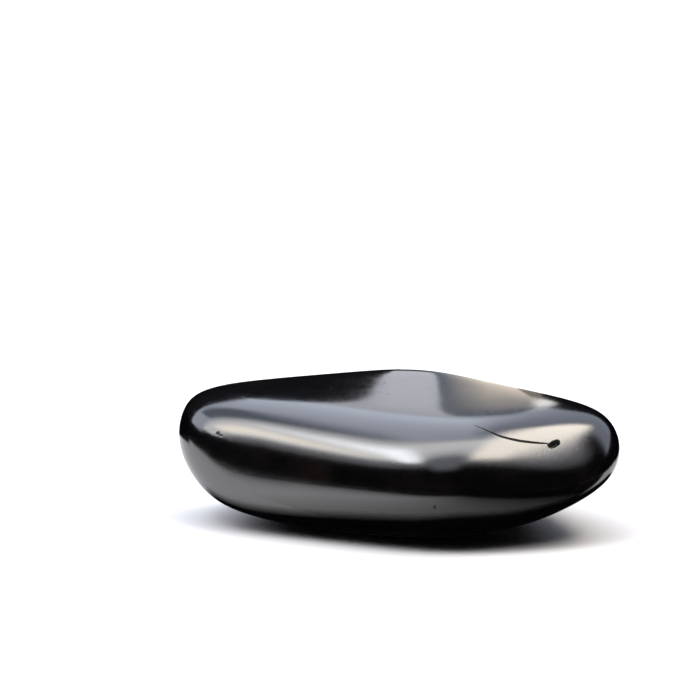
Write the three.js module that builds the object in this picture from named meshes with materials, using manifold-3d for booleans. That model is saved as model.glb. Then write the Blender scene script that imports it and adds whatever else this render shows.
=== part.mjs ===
// A tumbled shungite pebble: one natural solid, polished all over, with a worn pit and a hairline crack.
// Millimetres, +Z up, +X along the pebble's length. The origin is under the middle of its box, on the
// surface that it rests on. The side nearer to -Y is called the near side.
import * as THREE from "three";
import { mergeVertices } from "three/addons/utils/BufferGeometryUtils.js";
import Module from "manifold-3d";

const wasm = await Module();
wasm.setup();

// ---- Driving dimensions -------------------------------------------------------------------------

const LENGTH = 61;
const DEPTH = 43.4;
const THICKNESS = 18.9;
const RESTING_WEAR = 0.2; // how much of the belly is worn away to make the flat spot it rests on

// The rounded body that the flats are worn into, as half sizes from its middle, and how square it is.
const BODY = { x: 41.3, y: 27.5, z: 14.2 };
const PLAN_SQUARENESS = 3.7; // 2 would be an ellipse seen from above
const SIDE_SQUARENESS = 4.2; // and seen from the side
const EDGE_CRISPNESS = 9.5; // how tightly the flats turn into each other

// The flats that tumbling leaves on a broken stone. A flat faces `turn` degrees round from the near
// side towards +X, and `rise` degrees above the horizon, `reach` millimetres from the body's middle.
const FLATS = [
  { name: "top", turn: 6, rise: 86, reach: 8.2 },
  { name: "top_near_left", turn: -22, rise: 56, reach: 13.2 },
  { name: "near_shoulder", turn: 27, rise: 45, reach: 17.5 },
  { name: "top_right", turn: 91, rise: 26, reach: 27.6 },
  { name: "top_far_right", turn: 136, rise: 32, reach: 18.6 },
  { name: "near_left_corner", turn: -51, rise: 7, reach: 29.7 },
  { name: "near_left_wall", turn: -29, rise: 7, reach: 19.2 },
  { name: "near_wall", turn: 13, rise: 11, reach: 21.7 },
  { name: "far_wall", turn: 202, rise: 15, reach: 23.1 },
  { name: "left_end", turn: -90, rise: 26, reach: 35.1 },
  { name: "belly_near_side", turn: 20, rise: -80, reach: 11.9 },
  { name: "belly_far_left", turn: -115, rise: -84, reach: 10.9 },
  { name: "belly_far_right", turn: 130, rise: -84, reach: 10.9 },
  { name: "belly_left", turn: -101, rise: -52, reach: 23.5 },
  { name: "belly_right", turn: 104, rise: -41, reach: 19 },
  { name: "belly_near_left", turn: -23, rise: -55, reach: 16 },
  { name: "belly_near", turn: 20, rise: -46, reach: 19.3 },
  { name: "belly_near_right", turn: 72, rise: -64, reach: 14.9 },
  { name: "belly_far", turn: 180, rise: -42, reach: 18.4 },
];

// The pit and the hairline crack that runs away from it to the left, over the near right shoulder.
const PIT = { turn: 51.5, rise: 10.5, length: 2, width: 1.2, depth: 0.55 };
const CRACK = { width: 0.3, sides: 6, steps: 36 };
const CRACK_ROUTE = [
  { turn: 49.5, rise: 11.1 },
  { turn: 44.7, rise: 12.3 },
  { turn: 38.3, rise: 14.4 },
  { turn: 32.3, rise: 17.6 },
  { turn: 26.5, rise: 24 },
];

const GRID = 24; // squares along each edge of the cube that becomes the pebble's mesh

// ---- The pebble's surface -----------------------------------------------------------------------

// Unit vector that faces `turn` degrees round from -Y towards +X, `rise` degrees above the horizon.
function facing({ turn, rise }) {
  const round = THREE.MathUtils.degToRad(turn);
  const up = THREE.MathUtils.degToRad(rise);
  return new THREE.Vector3(
    Math.cos(up) * Math.sin(round),
    -Math.cos(up) * Math.cos(round),
    Math.sin(up),
  );
}

const flats = FLATS.map((flat) => ({ normal: facing(flat), reach: flat.reach }));

// How far the surface is from the middle along a unit vector: the body and the flats, blended.
function radiusAlong(ray) {
  const plan =
    (Math.abs(ray.x) / BODY.x) ** PLAN_SQUARENESS + (Math.abs(ray.y) / BODY.y) ** PLAN_SQUARENESS;
  const side =
    plan ** (SIDE_SQUARENESS / PLAN_SQUARENESS) + (Math.abs(ray.z) / BODY.z) ** SIDE_SQUARENESS;
  let nearness = side ** (EDGE_CRISPNESS / SIDE_SQUARENESS);
  for (const { normal, reach } of flats) {
    nearness += (Math.max(0, normal.dot(ray)) / reach) ** EDGE_CRISPNESS;
  }
  return nearness ** (-1 / EDGE_CRISPNESS);
}

// The surface point along a unit vector.
function surfaceAlong(ray) {
  return ray.clone().multiplyScalar(radiusAlong(ray));
}

// A closed mesh of the surface: a gridded cube, rounded into a ball, stretched to the body's
// proportions so that its squares stay even, and then set on the surface.
function pebbleGeometry() {
  const cube = new THREE.BoxGeometry(2, 2, 2, GRID, GRID, GRID);
  cube.deleteAttribute("normal");
  cube.deleteAttribute("uv");
  const geometry = mergeVertices(cube);
  const position = geometry.getAttribute("position");
  const ray = new THREE.Vector3();
  for (let i = 0; i < position.count; i++) {
    ray.fromBufferAttribute(position, i);
    for (const axis of ["x", "y", "z"]) ray[axis] = Math.tan((ray[axis] * Math.PI) / 4);
    ray.normalize().multiply(BODY).normalize();
    position.setXYZ(i, ...surfaceAlong(ray));
  }
  return geometry;
}

// ---- Cutting the pit, the crack and the flat spot ------------------------------------------------

function solidOf(geometry) {
  const bare = geometry.clone();
  bare.deleteAttribute("normal");
  bare.deleteAttribute("uv");
  const merged = mergeVertices(bare, 1e-4);
  return new wasm.Manifold(
    new wasm.Mesh({
      numProp: 3,
      vertProperties: new Float32Array(merged.getAttribute("position").array),
      triVerts: new Uint32Array(merged.index.array),
    }),
  );
}

function geometryOf(solid) {
  const { vertProperties, triVerts } = solid.getMesh();
  return new THREE.BufferGeometry()
    .setAttribute("position", new THREE.BufferAttribute(vertProperties, 3))
    .setIndex(new THREE.BufferAttribute(triVerts, 1));
}

// An oval bowl, set into the surface with its long way along the level.
function pitCutter() {
  const outward = facing(PIT);
  const middle = surfaceAlong(outward);
  const level = new THREE.Vector3(0, 0, 1).cross(outward).normalize();
  const across = outward.clone().cross(level);
  const bowl = new THREE.SphereGeometry(0.5, 20, 12);
  bowl.scale(PIT.length, PIT.width, 2 * PIT.depth);
  bowl.applyMatrix4(new THREE.Matrix4().makeBasis(level, across, outward).setPosition(middle));
  return bowl;
}

// A thin round wire laid along the surface, which leaves a half-round groove.
function crackCutter() {
  const route = new THREE.CatmullRomCurve3(CRACK_ROUTE.map((stop) => surfaceAlong(facing(stop))));
  const section = new THREE.Shape();
  for (let i = 0; i < CRACK.sides; i++) {
    const angle = (i / CRACK.sides) * 2 * Math.PI;
    const corner = [(Math.cos(angle) * CRACK.width) / 2, (Math.sin(angle) * CRACK.width) / 2];
    if (i === 0) section.moveTo(...corner);
    else section.lineTo(...corner);
  }
  section.closePath();
  return new THREE.ExtrudeGeometry(section, { extrudePath: route, steps: CRACK.steps });
}

// Everything below the worn flat spot.
function wearCutter(lowest) {
  const block = new THREE.BoxGeometry(2 * LENGTH, 2 * DEPTH, THICKNESS);
  return block.translate(0, 0, lowest + RESTING_WEAR - THICKNESS / 2);
}

function makePebble() {
  const whole = pebbleGeometry();
  whole.computeBoundingBox();
  const solid = solidOf(whole)
    .subtract(solidOf(pitCutter()))
    .subtract(solidOf(crackCutter()))
    .subtract(solidOf(wearCutter(whole.boundingBox.min.z)));

  const geometry = geometryOf(solid);
  geometry.computeBoundingBox();
  const size = geometry.boundingBox.getSize(new THREE.Vector3());
  const middle = geometry.boundingBox.getCenter(new THREE.Vector3());
  geometry.translate(-middle.x, -middle.y, -geometry.boundingBox.min.z);
  geometry.scale(LENGTH / size.x, DEPTH / size.y, THICKNESS / size.z);
  geometry.computeVertexNormals();

  const shungite = new THREE.MeshStandardMaterial({ color: 0x17181a, roughness: 0.22, metalness: 0 });
  const pebble = new THREE.Mesh(geometry, shungite);
  pebble.name = "pebble";
  return pebble;
}

const part = new THREE.Group();
part.add(makePebble());

export default part;
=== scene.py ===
"""A tumbled shungite pebble, polished to a glassy black, on a pale floor under soft studio light.

The pebble is one natural stone. A ball is refined where the stone has fine detail, and a Geometry
Nodes tree turns it into the stone by a rule: a rounded body, the flats that tumbling wears into it,
the flat spot that it rests on, and then the crack and the pits. Lengths are in millimetres, turned
into metres by MM, and directions on the stone are a turn round from the near side (-Y) towards +X
and a rise above the horizon, both in degrees.
"""
import logging
import math
import random
from dataclasses import dataclass, field
from enum import Enum

import bmesh
import bpy
import numpy as np
from mathutils import Matrix, Vector


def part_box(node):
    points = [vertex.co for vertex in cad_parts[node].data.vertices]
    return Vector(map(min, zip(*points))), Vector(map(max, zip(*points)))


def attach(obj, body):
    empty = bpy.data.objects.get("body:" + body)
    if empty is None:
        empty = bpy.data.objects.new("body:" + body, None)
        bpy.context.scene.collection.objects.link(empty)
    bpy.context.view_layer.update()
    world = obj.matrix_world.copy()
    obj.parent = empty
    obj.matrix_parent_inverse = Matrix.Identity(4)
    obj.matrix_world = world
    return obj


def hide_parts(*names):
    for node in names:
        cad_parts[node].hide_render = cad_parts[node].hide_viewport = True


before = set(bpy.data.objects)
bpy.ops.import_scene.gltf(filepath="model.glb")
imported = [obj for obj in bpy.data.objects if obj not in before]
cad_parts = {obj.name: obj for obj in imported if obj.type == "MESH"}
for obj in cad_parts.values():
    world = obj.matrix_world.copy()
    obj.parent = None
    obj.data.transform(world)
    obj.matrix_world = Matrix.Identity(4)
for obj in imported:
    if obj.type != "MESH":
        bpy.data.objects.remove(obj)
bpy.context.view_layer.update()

MM = 0.001
NODE = "pebble"
log = logging.getLogger("pebble")


# ---- Shared helpers ------------------------------------------------------------------------------


def add_node(tree: bpy.types.NodeTree, kind: str, feeds: dict | None = None, **settings) -> bpy.types.Node:
    """Adds a node with its settings and links.

    Args:
        tree: The node tree that it goes into.
        kind: The node's type, such as ShaderNodeMath.
        feeds: Its inputs, by name or number: a value, or the output socket that it is linked from.
        **settings: The node's own properties.

    Returns:
        The new node.
    """
    node = tree.nodes.new(kind)
    for name, value in settings.items():
        setattr(node, name, value)
    for key, value in (feeds or {}).items():
        if isinstance(value, bpy.types.NodeSocket):
            tree.links.new(value, node.inputs[key])
        else:
            node.inputs[key].default_value = value
    return node


def linear(hex_colour: str, strength: float = 1.0) -> tuple[float, float, float, float]:
    """Turns an sRGB hex colour into linear RGBA.

    Args:
        hex_colour: Six hex digits, with or without a hash.
        strength: Multiplies the colour, for light stronger or weaker than white.

    Returns:
        Linear red, green, blue and an alpha of 1.
    """
    digits = hex_colour.lstrip("#")
    channels = (int(digits[i : i + 2], 16) / 255 for i in (0, 2, 4))
    rgb = (c / 12.92 if c <= 0.04045 else ((c + 0.055) / 1.055) ** 2.4 for c in channels)
    return (*(strength * c for c in rgb), 1.0)


def facing(turn: float, rise: float) -> Vector:
    """Returns the unit vector with this turn and rise, in degrees."""
    around, up = math.radians(turn), math.radians(rise)
    return Vector((math.cos(up) * math.sin(around), -math.cos(up) * math.cos(around), math.sin(up)))


def link_object(name: str, data: bpy.types.ID) -> bpy.types.Object:
    """Makes an object of some data, at the origin, and links it into the scene."""
    made = bpy.data.objects.new(name, data)
    bpy.context.scene.collection.objects.link(made)
    return made


# ---- The stone's finish --------------------------------------------------------------------------


@dataclass(frozen=True)
class PolishedShungite:
    """Shungite rock, a glassy carbon, tumbled with finer and finer grit and then polished.

    It looks black with a half-metallic lustre, because carbon bends light more than most stones do.
    The polish is softly uneven, so that the edges of reflections waver, and is dull inside the pits.
    """

    black: str = "#030304"
    brown: str = "#140f0c"
    cloud_size: float = 9.0
    pore_size: float = 0.45
    pore_depth: float = 0.003
    scratch_length: float = 5.0
    scratch_spacing: float = 0.2
    scratch_depth: float = 0.0005
    polish: float = 0.1
    haze: float = 0.06
    broken: float = 0.45
    index: float = 2.0

    def make(self) -> bpy.types.Material:
        """Builds the material.

        Returns:
            The finished material.
        """
        material = bpy.data.materials.new("polished_shungite")
        material.use_nodes = True
        tree = material.node_tree
        tree.nodes.clear()
        place = add_node(tree, "ShaderNodeTexCoord").outputs["Object"]
        hollow = add_node(tree, "ShaderNodeAttribute", attribute_name="hollow").outputs["Fac"]

        clouds = add_node(
            tree,
            "ShaderNodeTexNoise",
            {"Vector": place, "Scale": 1 / (self.cloud_size * MM), "Detail": 5.0, "Roughness": 0.62},
        )
        cloudy = add_node(
            tree,
            "ShaderNodeMapRange",
            {"Value": clouds.outputs[0], "From Min": 0.52, "From Max": 0.74},
        )
        colour = add_node(
            tree,
            "ShaderNodeMix",
            {"Factor": cloudy.outputs[0], 6: linear(self.black), 7: linear(self.brown)},
            data_type="RGBA",
        )

        haze = add_node(
            tree,
            "ShaderNodeTexNoise",
            {"Vector": place, "Scale": 1 / (2.6 * MM), "Detail": 6.0, "Roughness": 0.7},
        )
        polish = add_node(
            tree,
            "ShaderNodeMapRange",
            {
                "Value": haze.outputs[0],
                "From Min": 0.35,
                "From Max": 0.8,
                "To Min": self.polish,
                "To Max": self.polish + self.haze,
            },
        )
        roughness = add_node(
            tree,
            "ShaderNodeMix",
            {"Factor": hollow, 2: polish.outputs[0], 3: self.broken},
            data_type="FLOAT",
        )

        # Fine lines all one way are too narrow to draw at their real width, so they are drawn coarser.
        combed = add_node(
            tree,
            "ShaderNodeMapping",
            {
                "Vector": place,
                "Rotation": (0.35, 0.5, 0.25),
                "Scale": (1 / (self.scratch_length * MM), *[1 / (self.scratch_spacing * MM)] * 2),
            },
        )
        scratches = add_node(
            tree, "ShaderNodeTexNoise", {"Vector": combed.outputs[0], "Scale": 1.0, "Detail": 2.0}
        )
        lined = add_node(
            tree,
            "ShaderNodeBump",
            {"Height": scratches.outputs[0], "Distance": self.scratch_depth * MM},
        )
        pores = add_node(
            tree,
            "ShaderNodeTexNoise",
            {"Vector": place, "Scale": 1 / (self.pore_size * MM), "Detail": 3.0, "Roughness": 0.6},
        )
        deep = add_node(
            tree, "ShaderNodeMapRange", {"Value": pores.outputs[0], "From Min": 0.30, "From Max": 0.42}
        )
        pored = add_node(
            tree,
            "ShaderNodeBump",
            {"Height": deep.outputs[0], "Distance": self.pore_depth * MM, "Normal": lined.outputs[0]},
        )

        shader = add_node(
            tree,
            "ShaderNodeBsdfPrincipled",
            {
                "Base Color": colour.outputs[2],
                "Roughness": roughness.outputs[0],
                "IOR": self.index,
                "Normal": pored.outputs[0],
            },
        )
        add_node(tree, "ShaderNodeOutputMaterial", {"Surface": shader.outputs[0]})
        return material


# ---- The pebble ----------------------------------------------------------------------------------


@dataclass(frozen=True)
class Flat:
    """A flat that tumbling leaves on the stone: the way it faces, and its distance from the middle."""

    name: str
    turn: float
    rise: float
    reach: float


@dataclass(frozen=True)
class Pit:
    """A small hole in the surface, where a softer grain fell out."""

    turn: float
    rise: float
    radius: float
    depth: float


FLATS = (
    Flat("top", 6, 86, 8.2),
    Flat("top_near_left", -22, 56, 13.2),
    Flat("near_shoulder", 27, 45, 17.5),
    Flat("top_right", 91, 26, 27.6),
    Flat("top_far_right", 136, 32, 18.6),
    Flat("near_left_corner", -51, 7, 29.7),
    Flat("near_left_wall", -29, 7, 19.2),
    Flat("near_wall", 13, 11, 21.7),
    Flat("far_wall", 202, 15, 23.1),
    Flat("left_end", -90, 26, 35.1),
    Flat("belly_near_side", 20, -80, 11.9),
    Flat("belly_far_left", -115, -84, 10.9),
    Flat("belly_far_right", 130, -84, 10.9),
    Flat("belly_left", -101, -52, 23.5),
    Flat("belly_right", 104, -41, 19),
    Flat("belly_near_left", -23, -55, 16),
    Flat("belly_near", 20, -46, 19.3),
    Flat("belly_near_right", 72, -64, 14.9),
    Flat("belly_far", 180, -42, 18.4),
)

# The worn pit at the near right shoulder is a row of overlapping holes, and each of the others is
# one hole.
PITS = (
    Pit(50.1, 10.1, 0.42, 0.6),
    Pit(50.9, 10.3, 0.46, 0.8),
    Pit(51.7, 10.5, 0.48, 0.9),
    Pit(52.5, 10.7, 0.46, 0.8),
    Pit(53.3, 10.9, 0.42, 0.6),
    Pit(-81.9, 7.4, 0.3, 0.22),
    Pit(-80.9, 7.1, 0.2, 0.12),
    Pit(3, -8.6, 0.24, 0.14),
)

# The hairline crack that runs away from the pit to the left, over the shoulder.
CRACK_ROUTE = ((49.5, 11.1), (44.7, 12.3), (38.3, 14.4), (32.3, 17.6), (26.5, 24))


@dataclass
class Pebble:
    """The stone itself, one solid piece."""

    body: tuple[float, float, float] = (41.3, 27.5, 14.2)
    plan_squareness: float = 3.7
    side_squareness: float = 4.2
    edge_crispness: float = 9.5
    wear: float = 0.2
    swell: float = 0.12
    swell_size: float = 13.0
    crack_width: float = 0.34
    crack_depth: float = 0.3
    grid: int = 84
    finest: int = 3
    stray_pits: int = 22
    seed: int = 11
    finish: PolishedShungite = field(default_factory=PolishedShungite)

    def pits(self) -> list[Pit]:
        """Returns the pits placed one by one, and the stray ones scattered over the far side and the ends."""
        scatter = random.Random(self.seed)
        found = list(PITS)
        while len(found) < len(PITS) + self.stray_pits:
            turn = scatter.uniform(-180, 180)
            rise = math.degrees(math.asin(scatter.uniform(-0.75, 1)))
            radius = scatter.uniform(0.07, 0.18)
            if abs(turn) > 75 and rise < 60:
                found.append(Pit(turn, rise, radius, 0.6 * radius))
        return found

    def blank(self, pits: list[Pit]) -> bpy.types.Mesh:
        """Makes the ball that the stone is shaped from, with small faces where its detail will be.

        Args:
            pits: The pits that need small faces.

        Returns:
            A closed mesh, each vertex one unit from the origin.
        """
        ball = bmesh.new()
        bmesh.ops.create_cube(ball, size=2)
        bmesh.ops.subdivide_edges(ball, edges=ball.edges[:], cuts=self.grid - 1, use_grid_fill=True)
        stretch = Vector(self.body)
        for vertex in ball.verts:
            even = Vector([math.tan(c * math.pi / 4) for c in vertex.co]).normalized()
            vertex.co = (even * stretch).normalized()

        route = [facing(*stop) for stop in CRACK_ROUTE]
        steps = [a.lerp(b, t / 24).normalized() for a, b in zip(route, route[1:]) for t in range(25)]
        spots = [(way, 0.45) for way in steps] + [(facing(p.turn, p.rise), p.radius + 0.2) for p in pits]
        centres = np.array([way for way, _ in spots])
        reaches = np.array([reach for _, reach in spots]) / 26.0
        for level in range(self.finest):
            spare = 0.028 * (self.finest - level) / self.finest
            places = np.array([vertex.co for vertex in ball.verts])
            near = np.zeros(len(places), bool)
            for centre, reach in zip(centres, reaches):
                near |= ((places - centre) ** 2).sum(1) < (reach + spare) ** 2
            ball.verts.index_update()
            edges = [e for e in ball.edges if near[e.verts[0].index] and near[e.verts[1].index]]
            bmesh.ops.subdivide_edges(ball, edges=edges, cuts=1, use_grid_fill=True, use_single_edge=True)
            for vertex in ball.verts:
                vertex.co.normalize()
        bmesh.ops.triangulate(ball, faces=[f for f in ball.faces if len(f.verts) > 4])
        bmesh.ops.recalc_face_normals(ball, faces=ball.faces[:])
        mesh = bpy.data.meshes.new("pebble_blank")
        ball.to_mesh(mesh)
        ball.free()
        return mesh

    @staticmethod
    def route_curve() -> bpy.types.Curve:
        """Returns the crack's route, a few points on the ball that the tree turns into a smooth line."""
        curve = bpy.data.curves.new("crack_route", "CURVE")
        curve.dimensions = "3D"
        spline = curve.splines.new("POLY")
        spline.points.add(len(CRACK_ROUTE) - 1)
        for point, stop in zip(spline.points, CRACK_ROUTE):
            point.co = (*facing(*stop), 1.0)
        return curve

    @staticmethod
    def pit_points(pits: list[Pit]) -> bpy.types.Mesh:
        """Returns a mesh of loose points on the ball, one for each pit, with its radius and depth."""
        mesh = bpy.data.meshes.new("pit_points")
        mesh.from_pydata([facing(p.turn, p.rise) for p in pits], [], [])
        for name in ("radius", "depth"):
            layer = mesh.attributes.new(name, "FLOAT", "POINT")
            layer.data.foreach_set("value", [getattr(p, name) * MM for p in pits])
        return mesh

    def tree(self) -> bpy.types.NodeTree:
        """Builds the Geometry Nodes tree that turns the ball into the stone.

        Returns:
            The tree, whose inputs are named for what they set.
        """
        tree = bpy.data.node_groups.new("tumbled_stone", "GeometryNodeTree")
        ports = (
            ("Geometry", "NodeSocketGeometry"),
            ("Body", "NodeSocketVector"),
            ("Plan Squareness", "NodeSocketFloat"),
            ("Side Squareness", "NodeSocketFloat"),
            ("Edge Crispness", "NodeSocketFloat"),
            ("Wear", "NodeSocketFloat"),
            ("Low Corner", "NodeSocketVector"),
            ("High Corner", "NodeSocketVector"),
            ("Swell", "NodeSocketFloat"),
            ("Swell Size", "NodeSocketFloat"),
            ("Crack Route", "NodeSocketObject"),
            ("Crack Width", "NodeSocketFloat"),
            ("Crack Depth", "NodeSocketFloat"),
            ("Pits", "NodeSocketObject"),
            ("Stone", "NodeSocketMaterial"),
        )
        for name, kind in ports:
            tree.interface.new_socket(name=name, in_out="INPUT", socket_type=kind)
        tree.interface.new_socket(name="Geometry", in_out="OUTPUT", socket_type="NodeSocketGeometry")
        given = add_node(tree, "NodeGroupInput").outputs
        shaped_place = self._shape_rule(tree, given)

        # The ball becomes the stone, its belly is worn flat, and the whole is fitted to the CAD box.
        shaped = add_node(
            tree, "GeometryNodeSetPosition", {"Geometry": given["Geometry"], "Position": shaped_place}
        )
        place = add_node(tree, "GeometryNodeInputPosition").outputs[0]
        parts = add_node(tree, "ShaderNodeSeparateXYZ", {0: place})
        whole = add_node(tree, "GeometryNodeBoundBox", {"Geometry": shaped.outputs[0]})
        lowest = add_node(tree, "ShaderNodeSeparateXYZ", {0: whole.outputs["Min"]})
        worn_to = add_node(
            tree, "ShaderNodeMath", {0: lowest.outputs["Z"], 1: given["Wear"]}, operation="ADD"
        )
        raised = add_node(
            tree,
            "ShaderNodeMath",
            {0: parts.outputs["Z"], 1: worn_to.outputs[0], 2: 0.04 * MM},
            operation="SMOOTH_MAX",
        )
        above = add_node(
            tree, "ShaderNodeCombineXYZ", {0: parts.outputs["X"], 1: parts.outputs["Y"], 2: raised.outputs[0]}
        )
        worn = add_node(
            tree, "GeometryNodeSetPosition", {"Geometry": shaped.outputs[0], "Position": above.outputs[0]}
        )
        bounds = add_node(tree, "GeometryNodeBoundBox", {"Geometry": worn.outputs[0]})
        fit = add_node(
            tree,
            "ShaderNodeMapRange",
            {
                "Vector": place,
                7: bounds.outputs["Min"],
                8: bounds.outputs["Max"],
                9: given["Low Corner"],
                10: given["High Corner"],
            },
            data_type="FLOAT_VECTOR",
            clamp=False,
        ).outputs["Vector"]
        fitted = add_node(tree, "GeometryNodeSetPosition", {"Geometry": worn.outputs[0], "Position": fit})

        depth, hollow = self._hollows(tree, given, shaped_place, fit)
        marked = add_node(
            tree,
            "GeometryNodeStoreNamedAttribute",
            {"Geometry": fitted.outputs[0], "Name": "hollow", "Value": hollow},
            data_type="FLOAT",
            domain="POINT",
        )
        sunk = add_node(
            tree,
            "GeometryNodeStoreNamedAttribute",
            {"Geometry": marked.outputs[0], "Name": "sunk", "Value": depth},
            data_type="FLOAT",
            domain="POINT",
        )
        swollen = self._swells(tree, given, sunk.outputs[0])

        normal = add_node(tree, "GeometryNodeInputNormal").outputs[0]
        how_deep = add_node(
            tree, "GeometryNodeInputNamedAttribute", {"Name": "sunk"}, data_type="FLOAT"
        ).outputs[0]
        inward = add_node(tree, "ShaderNodeMath", {0: how_deep, 1: -1.0}, operation="MULTIPLY")
        push = add_node(
            tree, "ShaderNodeVectorMath", {0: normal, "Scale": inward.outputs[0]}, operation="SCALE"
        )
        cut = add_node(
            tree, "GeometryNodeSetPosition", {"Geometry": swollen, "Offset": push.outputs[0]}
        )
        tidy = add_node(tree, "GeometryNodeRemoveAttribute", {"Geometry": cut.outputs[0], "Name": "sunk"})
        smooth = add_node(tree, "GeometryNodeSetShadeSmooth", {"Geometry": tidy.outputs[0]})
        real = add_node(tree, "GeometryNodeRealizeInstances", {0: smooth.outputs[0]})
        dressed = add_node(
            tree, "GeometryNodeSetMaterial", {"Geometry": real.outputs[0], "Material": given["Stone"]}
        )
        add_node(tree, "NodeGroupOutput", {0: dressed.outputs[0]})
        return tree

    @staticmethod
    def _shape_rule(tree: bpy.types.NodeTree, given: bpy.types.bpy_prop_collection) -> bpy.types.NodeSocket:
        """Adds the rule that places a point of the ball on the stone.

        The body is a squared-off ellipsoid and each flat is a plane. Each gives how near the surface
        is along the point's direction, and a high power of each, added up, blends them.

        Args:
            tree: The tree that the nodes go into.
            given: The tree's inputs.

        Returns:
            The socket with the point's place on the stone.
        """
        place = add_node(tree, "GeometryNodeInputPosition").outputs[0]
        ray = add_node(tree, "ShaderNodeVectorMath", {0: place}, operation="NORMALIZE").outputs[0]
        size = add_node(tree, "ShaderNodeVectorMath", {0: ray}, operation="ABSOLUTE")
        share = add_node(
            tree, "ShaderNodeVectorMath", {0: size.outputs[0], 1: given["Body"]}, operation="DIVIDE"
        )
        parts = add_node(tree, "ShaderNodeSeparateXYZ", {0: share.outputs[0]})
        along, across = (
            add_node(
                tree, "ShaderNodeMath", {0: parts.outputs[axis], 1: given["Plan Squareness"]}, operation="POWER"
            ).outputs[0]
            for axis in "XY"
        )
        plan = add_node(tree, "ShaderNodeMath", {0: along, 1: across}, operation="ADD")
        to_side = add_node(
            tree, "ShaderNodeMath", {0: given["Side Squareness"], 1: given["Plan Squareness"]}, operation="DIVIDE"
        )
        flatwise = add_node(
            tree, "ShaderNodeMath", {0: plan.outputs[0], 1: to_side.outputs[0]}, operation="POWER"
        )
        upright = add_node(
            tree, "ShaderNodeMath", {0: parts.outputs["Z"], 1: given["Side Squareness"]}, operation="POWER"
        )
        side = add_node(tree, "ShaderNodeMath", {0: flatwise.outputs[0], 1: upright.outputs[0]}, operation="ADD")
        to_blend = add_node(
            tree, "ShaderNodeMath", {0: given["Edge Crispness"], 1: given["Side Squareness"]}, operation="DIVIDE"
        )
        total = add_node(
            tree, "ShaderNodeMath", {0: side.outputs[0], 1: to_blend.outputs[0]}, operation="POWER"
        ).outputs[0]
        for flat in FLATS:
            lean = add_node(
                tree, "ShaderNodeVectorMath", {0: ray, 1: facing(flat.turn, flat.rise)}, operation="DOT_PRODUCT"
            )
            toward = add_node(tree, "ShaderNodeMath", {0: lean.outputs["Value"], 1: 0.0}, operation="MAXIMUM")
            near = add_node(
                tree, "ShaderNodeMath", {0: toward.outputs[0], 1: flat.reach * MM}, operation="DIVIDE"
            )
            weight = add_node(
                tree, "ShaderNodeMath", {0: near.outputs[0], 1: given["Edge Crispness"]}, operation="POWER"
            )
            total = add_node(tree, "ShaderNodeMath", {0: total, 1: weight.outputs[0]}, operation="ADD").outputs[0]
        back = add_node(tree, "ShaderNodeMath", {0: -1.0, 1: given["Edge Crispness"]}, operation="DIVIDE")
        radius = add_node(tree, "ShaderNodeMath", {0: total, 1: back.outputs[0]}, operation="POWER")
        return add_node(
            tree, "ShaderNodeVectorMath", {0: ray, "Scale": radius.outputs[0]}, operation="SCALE"
        ).outputs[0]

    @staticmethod
    def _swells(
        tree: bpy.types.NodeTree, given: bpy.types.bpy_prop_collection, geometry: bpy.types.NodeSocket
    ) -> bpy.types.NodeSocket:
        """Adds the slow unevenness of a stone polished by tumbling, fading out at the resting spot.

        Args:
            tree: The tree that the nodes go into.
            given: The tree's inputs.
            geometry: The stone so far.

        Returns:
            The socket with the uneven stone.
        """
        place = add_node(tree, "GeometryNodeInputPosition").outputs[0]
        pace = add_node(tree, "ShaderNodeMath", {0: 1.0, 1: given["Swell Size"]}, operation="DIVIDE")
        noise = add_node(
            tree,
            "ShaderNodeTexNoise",
            {"Vector": place, "Scale": pace.outputs[0], "Detail": 1.0, "Roughness": 0.3},
        )
        centred = add_node(tree, "ShaderNodeMath", {0: noise.outputs[0], 1: 0.5}, operation="SUBTRACT")
        height = add_node(tree, "ShaderNodeSeparateXYZ", {0: place}).outputs["Z"]
        lifted = add_node(
            tree,
            "ShaderNodeMapRange",
            {"Value": height, "From Min": 0.2 * MM, "From Max": 4.0 * MM},
            interpolation_type="SMOOTHSTEP",
        )
        faded = add_node(
            tree, "ShaderNodeMath", {0: centred.outputs[0], 1: lifted.outputs[0]}, operation="MULTIPLY"
        )
        amount = add_node(tree, "ShaderNodeMath", {0: faded.outputs[0], 1: given["Swell"]}, operation="MULTIPLY")
        normal = add_node(tree, "GeometryNodeInputNormal").outputs[0]
        push = add_node(
            tree, "ShaderNodeVectorMath", {0: normal, "Scale": amount.outputs[0]}, operation="SCALE"
        )
        return add_node(
            tree, "GeometryNodeSetPosition", {"Geometry": geometry, "Offset": push.outputs[0]}
        ).outputs[0]

    @staticmethod
    def _hollows(
        tree: bpy.types.NodeTree,
        given: bpy.types.bpy_prop_collection,
        shaped_place: bpy.types.NodeSocket,
        fit: bpy.types.NodeSocket,
    ) -> tuple[bpy.types.NodeSocket, bpy.types.NodeSocket]:
        """Adds the crack and the pits, which follow the surface because they are shaped with it.

        Args:
            tree: The tree that the nodes go into.
            given: The tree's inputs.
            shaped_place: A point's place on the stone.
            fit: That place fitted to the CAD box.

        Returns:
            The sockets with how deep each point sinks, and how far it is inside a hollow, 0 to 1.
        """
        place = add_node(tree, "GeometryNodeInputPosition").outputs[0]
        ragged = add_node(
            tree, "ShaderNodeTexNoise", {"Vector": place, "Scale": 1 / (0.5 * MM), "Detail": 3.0}
        )
        waver = add_node(
            tree,
            "ShaderNodeMapRange",
            {"Value": ragged.outputs[0], "To Min": -0.09 * MM, "To Max": 0.09 * MM},
        ).outputs[0]

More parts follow.
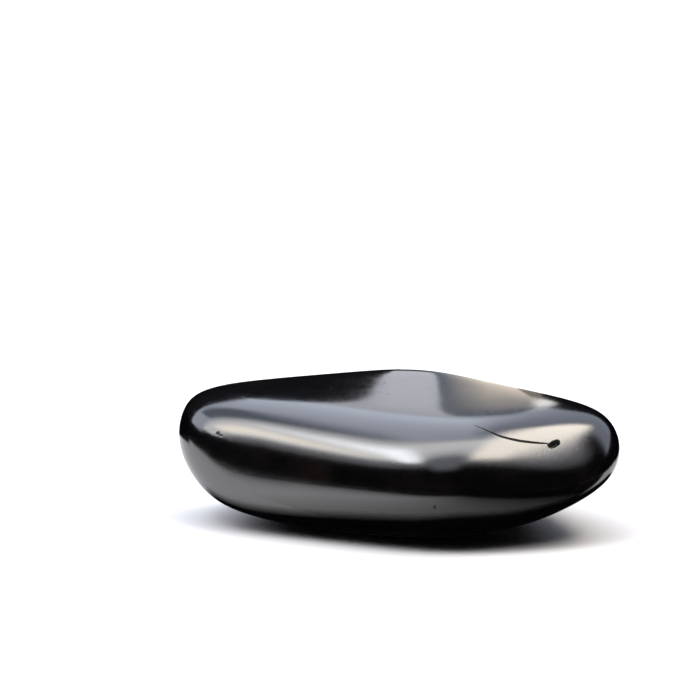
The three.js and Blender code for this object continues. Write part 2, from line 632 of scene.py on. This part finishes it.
        # The crack opens in the middle of its length and closes to nothing at the end away from the pit.
        route = add_node(tree, "GeometryNodeObjectInfo", {"Object": given["Crack Route"]})
        bent = add_node(
            tree,
            "GeometryNodeCurveSplineType",
            {0: route.outputs["Geometry"]},
            spline_type="CATMULL_ROM",
        )
        fine = add_node(tree, "GeometryNodeResampleCurve", {"Curve": bent.outputs[0], "Count": 160})
        along = add_node(tree, "GeometryNodeSplineParameter").outputs["Factor"]
        opening = add_node(tree, "ShaderNodeFloatCurve", {"Value": along})
        for x, y in ((0.12, 0.75), (0.45, 1.0), (0.75, 0.8)):
            opening.mapping.curves[0].points.new(x, y)
        opening.mapping.curves[0].points[0].location = (0.0, 0.45)
        opening.mapping.curves[0].points[-1].location = (1.0, 0.45)
        opening.mapping.update()
        opened = add_node(
            tree,
            "GeometryNodeStoreNamedAttribute",
            {"Geometry": fine.outputs[0], "Name": "opening", "Value": opening.outputs[0]},
            data_type="FLOAT",
            domain="POINT",
        )
        thread = add_node(tree, "GeometryNodeCurveToMesh", {"Curve": opened.outputs[0]})
        laid = add_node(
            tree, "GeometryNodeSetPosition", {"Geometry": thread.outputs[0], "Position": shaped_place}
        )
        line = add_node(tree, "GeometryNodeSetPosition", {"Geometry": laid.outputs[0], "Position": fit}).outputs[0]
        off_line = add_node(
            tree, "GeometryNodeProximity", {0: line}, target_element="EDGES"
        ).outputs["Distance"]
        nearest = add_node(tree, "GeometryNodeSampleNearest", {"Geometry": line}, domain="POINT")
        named = add_node(tree, "GeometryNodeInputNamedAttribute", {"Name": "opening"}, data_type="FLOAT")
        open_here = add_node(
            tree,
            "GeometryNodeSampleIndex",
            {"Geometry": line, "Value": named.outputs[0], "Index": nearest.outputs[0]},
            data_type="FLOAT",
            domain="POINT",
        ).outputs[0]
        full = add_node(tree, "ShaderNodeMath", {0: open_here, 1: given["Crack Width"]}, operation="MULTIPLY")
        half = add_node(tree, "ShaderNodeMath", {0: full.outputs[0], 1: 0.5}, operation="MULTIPLY")
        uneven = add_node(tree, "ShaderNodeMath", {0: waver, 1: 0.6, 2: off_line}, operation="MULTIPLY_ADD")
        beside = add_node(tree, "ShaderNodeMath", {0: uneven.outputs[0], 1: half.outputs[0]}, operation="DIVIDE")
        crack = add_node(
            tree,
            "ShaderNodeMapRange",
            {"Value": beside.outputs[0], "From Min": 0.3, "From Max": 1.25, "To Min": 1.0, "To Max": 0.0},
            interpolation_type="SMOOTHSTEP",
        ).outputs[0]
        crack_deep = add_node(
            tree, "ShaderNodeMath", {0: open_here, 1: given["Crack Depth"]}, operation="MULTIPLY"
        )
        crack_sinks = add_node(tree, "ShaderNodeMath", {0: crack, 1: crack_deep.outputs[0]}, operation="MULTIPLY")

        # Each pit is a bowl with a rounded rim and a wavering edge.
        points = add_node(tree, "GeometryNodeObjectInfo", {"Object": given["Pits"]})
        on_stone = add_node(
            tree, "GeometryNodeSetPosition", {"Geometry": points.outputs["Geometry"], "Position": shaped_place}
        )
        dots = add_node(
            tree, "GeometryNodeSetPosition", {"Geometry": on_stone.outputs[0], "Position": fit}
        ).outputs[0]
        away = add_node(tree, "GeometryNodeProximity", {0: dots}, target_element="POINTS").outputs["Distance"]
        closest = add_node(tree, "GeometryNodeSampleNearest", {"Geometry": dots}, domain="POINT")
        radius, bowl_deep = (
            add_node(
                tree,
                "GeometryNodeSampleIndex",
                {
                    "Geometry": dots,
                    "Value": add_node(
                        tree, "GeometryNodeInputNamedAttribute", {"Name": name}, data_type="FLOAT"
                    ).outputs[0],
                    "Index": closest.outputs[0],
                },
                data_type="FLOAT",
                domain="POINT",
            ).outputs[0]
            for name in ("radius", "depth")
        )
        rough_away = add_node(tree, "ShaderNodeMath", {0: away, 1: waver}, operation="ADD")
        within = add_node(tree, "ShaderNodeMath", {0: rough_away.outputs[0], 1: radius}, operation="DIVIDE")
        bowl = add_node(
            tree,
            "ShaderNodeMapRange",
            {"Value": within.outputs[0], "From Min": 0.25, "From Max": 1.1, "To Min": 1.0, "To Max": 0.0},
            interpolation_type="SMOOTHSTEP",
        ).outputs[0]
        bowl_sinks = add_node(tree, "ShaderNodeMath", {0: bowl, 1: bowl_deep}, operation="MULTIPLY")

        depth = add_node(
            tree, "ShaderNodeMath", {0: crack_sinks.outputs[0], 1: bowl_sinks.outputs[0]}, operation="MAXIMUM"
        )
        hollow = add_node(tree, "ShaderNodeMath", {0: crack, 1: bowl}, operation="MAXIMUM")
        return depth.outputs[0], hollow.outputs[0]

    def build(self) -> bpy.types.Object:
        """Shapes the stone and makes it a plain mesh.

        Returns:
            The finished piece.
        """
        pits = self.pits()
        helpers = {
            "Crack Route": link_object("crack_route", self.route_curve()),
            "Pits": link_object("pit_points", self.pit_points(pits)),
        }
        rough = link_object("pebble_blank", self.blank(pits))
        tree = self.tree()
        modifier = rough.modifiers.new("Tumble", "NODES")
        modifier.node_group = tree
        low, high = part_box(NODE)
        settings = {
            "Body": [size * MM for size in self.body],
            "Plan Squareness": self.plan_squareness,
            "Side Squareness": self.side_squareness,
            "Edge Crispness": self.edge_crispness,
            "Wear": self.wear * MM,
            "Low Corner": list(low),
            "High Corner": list(high),
            "Swell": self.swell * MM,
            "Swell Size": self.swell_size * MM,
            "Crack Width": self.crack_width * MM,
            "Crack Depth": self.crack_depth * MM,
            "Stone": self.finish.make(),
            **helpers,
        }
        for socket in tree.interface.items_tree:
            if socket.in_out == "INPUT" and socket.name in settings:
                modifier[socket.identifier] = settings[socket.name]

        seen = rough.evaluated_get(bpy.context.evaluated_depsgraph_get())
        mesh = bpy.data.meshes.new_from_object(seen)
        mesh.name = "polished_pebble"
        for used in (rough, *helpers.values()):
            bpy.data.objects.remove(used)
        return link_object("polished_pebble", mesh)

    def dress(self, piece: bpy.types.Object) -> None:
        """Hangs the piece on the root body, and hides the CAD part that it stands for.

        Args:
            piece: The finished stone.
        """
        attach(piece, "root")
        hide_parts(NODE)
        log.info("%s: %d faces", piece.name, len(piece.data.polygons))


# ---- The studio ----------------------------------------------------------------------------------


class Shade(Enum):
    """What a card near the stone glows with, as a painted reflection: its colour, and its strength against white.
    """

    BLACK = ("#08080a", 1.0)
    SLATE = ("#8f98a6", 1.0)
    CREAM = ("#fff2e4", 1.5)
    WHITE = ("#fffdfa", 3.0)


@dataclass(frozen=True)
class Card:
    """A rounded card for the stone to reflect, out of the picture: a painted reflection, a glowing sheet that
    lights nothing, casts no shadow and shows only in the stone's reflections.

    It stands behind the stone, or lies on the table. Each of its fades is an axis with two places on
    it: where the card is still solid, and where it has thinned to clear. Its soft rim thins out too,
    over that share of its size.
    """

    name: str
    middle: tuple[float, float, float]
    half_size: tuple[float, float]
    shade: Shade
    corners: float = 2.0
    lying: bool = False
    fades: tuple[tuple[str, float, float], ...] = ()
    soft_rim: float = 0.0
    sides: int = 64

    def build(self) -> None:
        """Makes the card, seen in reflections and nowhere else."""
        mesh = bpy.data.meshes.new(self.name)
        points = []
        for i in range(self.sides):
            angle = 2 * math.pi * i / self.sides
            across, up = (
                half * math.copysign(abs(part) ** (2 / self.corners), part)
                for half, part in zip(self.half_size, (math.cos(angle), math.sin(angle)))
            )
            offset = (across, up, 0) if self.lying else (across, 0, up)
            points.append((Vector(self.middle) + Vector(offset)) * MM)
        mesh.from_pydata(points, [], [range(self.sides)])
        mesh.materials.append(self._cover())
        card = link_object(self.name, mesh)
        card.visible_camera = False
        card.visible_diffuse = False
        card.visible_shadow = False
        log.info("%s: card", self.name)

    def _cover(self) -> bpy.types.Material:
        """Returns the card's material, an even glow, so that its shade doesn't depend on the light."""
        material = bpy.data.materials.new(self.name)
        material.use_nodes = True
        tree = material.node_tree
        tree.nodes.clear()
        glow = add_node(tree, "ShaderNodeEmission", {"Color": linear(*self.shade.value)}).outputs[0]
        if self.fades or self.soft_rim:
            place = add_node(tree, "ShaderNodeTexCoord").outputs["Object"]
            parts = add_node(tree, "ShaderNodeSeparateXYZ", {0: place}).outputs
            solid = self._solid(tree, parts)
            clear = add_node(tree, "ShaderNodeBsdfTransparent")
            glow = add_node(tree, "ShaderNodeMixShader", {0: solid, 1: clear.outputs[0], 2: glow}).outputs[0]
        add_node(tree, "ShaderNodeOutputMaterial", {"Surface": glow})
        return material

    def _solid(self, tree: bpy.types.NodeTree, parts: bpy.types.bpy_prop_collection) -> bpy.types.NodeSocket:
        """Returns how solid the card is, 0 to 1.

        Args:
            tree: The card's nodes.
            parts: The X, Y and Z of a place on it.
        """
        solid = self._inside_rim(tree, parts) if self.soft_rim else None
        for axis, solid_at, clear_at in self.fades:
            left = add_node(
                tree,
                "ShaderNodeMapRange",
                {"Value": parts[axis], "From Min": clear_at * MM, "From Max": solid_at * MM},
            ).outputs[0]
            joined = "MAXIMUM" if self.lying else "MULTIPLY"
            both = {0: left, 1: left if solid is None else solid}
            solid = left if solid is None else add_node(tree, "ShaderNodeMath", both, operation=joined).outputs[0]
        return solid

    def _inside_rim(
        self, tree: bpy.types.NodeTree, parts: bpy.types.bpy_prop_collection
    ) -> bpy.types.NodeSocket:
        """Returns how far in from the card's edge a place is, from 0 there to 1 inside its soft rim."""
        out = 0.0
        for axis, half in zip((0, 1) if self.lying else (0, 2), self.half_size):
            off = add_node(
                tree, "ShaderNodeMath", {0: parts[axis], 1: self.middle[axis] * MM}, operation="SUBTRACT"
            )
            share = add_node(tree, "ShaderNodeMath", {0: off.outputs[0], 1: half * MM}, operation="DIVIDE")
            size = add_node(tree, "ShaderNodeMath", {0: share.outputs[0]}, operation="ABSOLUTE")
            power = add_node(tree, "ShaderNodeMath", {0: size.outputs[0], 1: self.corners}, operation="POWER")
            out = add_node(tree, "ShaderNodeMath", {0: power.outputs[0], 1: out}, operation="ADD").outputs[0]
        way = add_node(tree, "ShaderNodeMath", {0: out, 1: 1 / self.corners}, operation="POWER")
        return add_node(
            tree,
            "ShaderNodeMapRange",
            {"Value": way.outputs[0], "From Min": 1.0, "From Max": 1.0 - self.soft_rim},
        ).outputs[0]


@dataclass(frozen=True)
class Floor:
    """A pale matt table top that runs out of sight."""

    radius: float = 3200.0
    colour: str = "#f0f0f1"

    def build(self) -> None:
        """Makes the floor just under the stone."""
        mesh = bpy.data.meshes.new("floor")
        ring = [
            (self.radius * MM * math.cos(math.radians(a)), self.radius * MM * math.sin(math.radians(a)), 0)
            for a in range(0, 360, 5)
        ]
        mesh.from_pydata(ring, [], [range(len(ring))])
        floor = link_object("floor", mesh)
        material = bpy.data.materials.new("pale_table_top")
        material.use_nodes = True
        shader = material.node_tree.nodes["Principled BSDF"]
        shader.inputs["Base Color"].default_value = linear(self.colour)
        shader.inputs["Roughness"].default_value = 0.7
        shader.inputs["Specular IOR Level"].default_value = 0.2
        mesh.materials.append(material)


@dataclass(frozen=True)
class Dome:
    """The studio's light: soft boxes on the ceiling of a dark room, with a plain pale wall all round.

    The wall is only what the camera sees past the floor: the stone reflects the dark room.
    """

    dark: str = "#121214"
    wall: str = "#ffffff"

    def build(self) -> None:
        """Makes the world's light."""
        world = bpy.data.worlds.new("studio")
        bpy.context.scene.world = world
        world.use_nodes = True
        tree = world.node_tree
        tree.nodes.clear()
        way = add_node(tree, "ShaderNodeTexCoord").outputs["Generated"]
        parts = add_node(tree, "ShaderNodeSeparateXYZ", {0: way})
        height = add_node(tree, "ShaderNodeMath", {0: parts.outputs["Z"], 1: 0.001}, operation="MAXIMUM")
        left_right, near_far = (
            add_node(
                tree, "ShaderNodeMath", {0: parts.outputs[axis], 1: height.outputs[0]}, operation="DIVIDE"
            ).outputs[0]
            for axis in "XY"
        )
        light = add_node(tree, "ShaderNodeRGB").outputs[0]
        light.default_value = linear(self.dark)
        for box in SOFT_BOXES:
            light = box.shine(tree, light, left_right, near_far)
        straight = add_node(tree, "ShaderNodeLightPath").outputs["Is Camera Ray"]
        seen = add_node(
            tree, "ShaderNodeMix", {"Factor": straight, 6: light, 7: linear(self.wall)}, data_type="RGBA"
        )
        background = add_node(tree, "ShaderNodeBackground", {"Color": seen.outputs[2]})
        add_node(tree, "ShaderNodeOutputWorld", {"Surface": background.outputs[0]})


@dataclass(frozen=True)
class SoftBox:
    """A soft box on the ceiling, with its light.

    Its edges are how far it reaches to the left and right of the stone and from its near edge to its
    far edge, as shares of its height above the stone. So is the width over which they fade: first the
    left and right edges, and then the near and far ones.
    """

    name: str
    left: float
    right: float
    near: float
    far: float
    soft: tuple[float, float]
    colour: str
    strength: float

    def shine(
        self,
        tree: bpy.types.NodeTree,
        light: bpy.types.NodeSocket,
        left_right: bpy.types.NodeSocket,
        near_far: bpy.types.NodeSocket,
    ) -> bpy.types.NodeSocket:
        """Adds this box's light to the dome.

        Args:
            tree: The world's nodes.
            light: The light so far.
            left_right: How far across the ceiling a direction points.
            near_far: How far along it, towards +Y.

        Returns:
            The light with this box in it.
        """
        inside = []
        ways = ((left_right, self.left, self.right), (near_far, self.near, self.far))
        for (along, low, high), soft in zip(ways, self.soft):
            for edge, sign in ((low, 1), (high, -1)):
                inside.append(
                    add_node(
                        tree,
                        "ShaderNodeMapRange",
                        {
                            "Value": along,
                            "From Min": edge - sign * soft / 2,
                            "From Max": edge + sign * soft / 2,
                        },
                        interpolation_type="SMOOTHSTEP",
                    ).outputs[0]
                )
        share = inside[0]
        for other in inside[1:]:
            share = add_node(tree, "ShaderNodeMath", {0: share, 1: other}, operation="MULTIPLY").outputs[0]
        return add_node(
            tree,
            "ShaderNodeMix",
            {"Factor": share, 6: light, 7: linear(self.colour, self.strength)},
            data_type="RGBA",
        ).outputs[2]


# Later boxes hang in front of earlier ones, and the dim ones are flags that shade part of the others.
SOFT_BOXES = (
    SoftBox("far_glow", -1.2, 1.2, 1.4, 6.0, (0.4, 0.4), "#f2f4ff", 1.4),
    SoftBox("near_glow", -2.2, 0.9, -0.7, 0.0, (0.4, 0.4), "#f4f6ff", 0.9),
    SoftBox("back_fill", -3.0, 0.7, 0.1, 1.8, (0.3, 0.3), "#e6edff", 2.3),
    SoftBox("left_flag", -1.1, -0.32, 0.14, 0.6, (0.2, 0.2), "#dbe6ff", 0.75),
    SoftBox("right_flag", 0.16, 1.6, 0.3, 2.2, (0.14, 0.3), "#e2eaff", 1.1),
    SoftBox("overhead", -2.4, 0.7, -0.43, 0.12, (0.3, 0.24), "#fdfdff", 3.9),
    SoftBox("far_left_lamp", -1.45, -0.7, -0.34, -0.08, (0.3, 0.2), "#fff6ea", 6.6),
    SoftBox("left_lamp", -0.6, -0.35, -0.5, -0.03, (0.2, 0.22), "#f8fbff", 8.6),
    SoftBox("middle_flag", -0.27, 0.22, -0.95, -0.32, (0.3, 0.45), "#eef2ff", 0.9),
    SoftBox("right_lamp", 0.32, 0.68, -0.56, 0.58, (0.18, 0.24), "#fff6ea", 7.0),
)

CARDS = (
    # The upright cards behind the stone are painted reflections that the top and shoulders show: the black ones
    # dark shapes, the slate and cream ones paler patches between them, and the white one a small bright painted
    # highlight.
    Card("low_left_card", (-62, 66, 0), (64, 64), Shade.BLACK, corners=3.2),
    Card("high_left_card", (-105, 67, 10), (90, 98), Shade.BLACK),
    Card("slate_card", (17, 66, 10), (9, 45), Shade.SLATE, corners=5.0),
    Card(
        "cream_card", (17.5, 65, 10), (9, 40), Shade.CREAM, 8.0, fades=(("X", 17, 9), ("Z", 34, 47))
    ),
    Card("right_card", (82, 65, 5), (60, 57), Shade.BLACK, corners=3.5),
    Card("white_card", (26.7, 64, 40), (3.2, 4.6), Shade.WHITE, soft_rim=0.6),
    # A black sheet lying under and round the stone, a painted shadow: the belly reflects it in place of the dark
    # contact shadow beneath the stone.
    Card("ground_card", (9, 0, 0.4), (44, 26), Shade.BLACK, 1.3, True, soft_rim=0.16),
    # A black sheet lying over the table in front of the stone, a painted shade: it is clear near the stone's left
    # end and solid to the right and further out, so that the belly reflects the table darker there.
    Card(
        "table_card", (0, -1514, 0.3), (1500, 1500), Shade.BLACK, 40.0, True, (("X", 32, -34), ("Y", -100, -22))
    ),
)


@dataclass(frozen=True)
class Viewpoint:
    """The camera: a long lens, a little above the table.

    The pebble's middle stands right of the picture's centre and below it, by these shares of its side.
    """

    lens: float = 146.0
    distance: float = 397.0
    pitch: float = 9.0
    right_of_centre: float = 0.0657
    below_centre: float = 0.1543
    sight_height: float = 9.0
    sensor: float = 36.0

    def build(self) -> None:
        """Makes the camera and makes it the scene's own."""
        data = bpy.data.cameras.new("camera")
        data.lens = self.lens
        data.sensor_width = self.sensor
        data.clip_start = 0.01
        data.clip_end = 20.0
        camera = link_object("camera", data)
        down = math.radians(self.pitch)
        turned = Matrix.Rotation(math.radians(90) - down, 4, "X")
        picture = Vector((self.right_of_centre, -self.below_centre, -self.lens / self.sensor))
        sight = (turned.to_3x3() @ picture).normalized()
        camera.matrix_world = turned
        camera.location = Vector((0, 0, self.sight_height * MM)) - sight * self.distance * MM
        bpy.context.scene.camera = camera


def main() -> None:
    """Builds the stone, the studio and the camera, in that order."""
    logging.basicConfig(level=logging.INFO, format="%(name)s: %(message)s")
    pebble = Pebble()
    pebble.dress(pebble.build())
    Floor().build()
    for card in CARDS:
        card.build()
    Dome().build()
    Viewpoint().build()
    bpy.context.scene.view_settings.view_transform = "Standard"


if __name__ == "__main__":
    main()
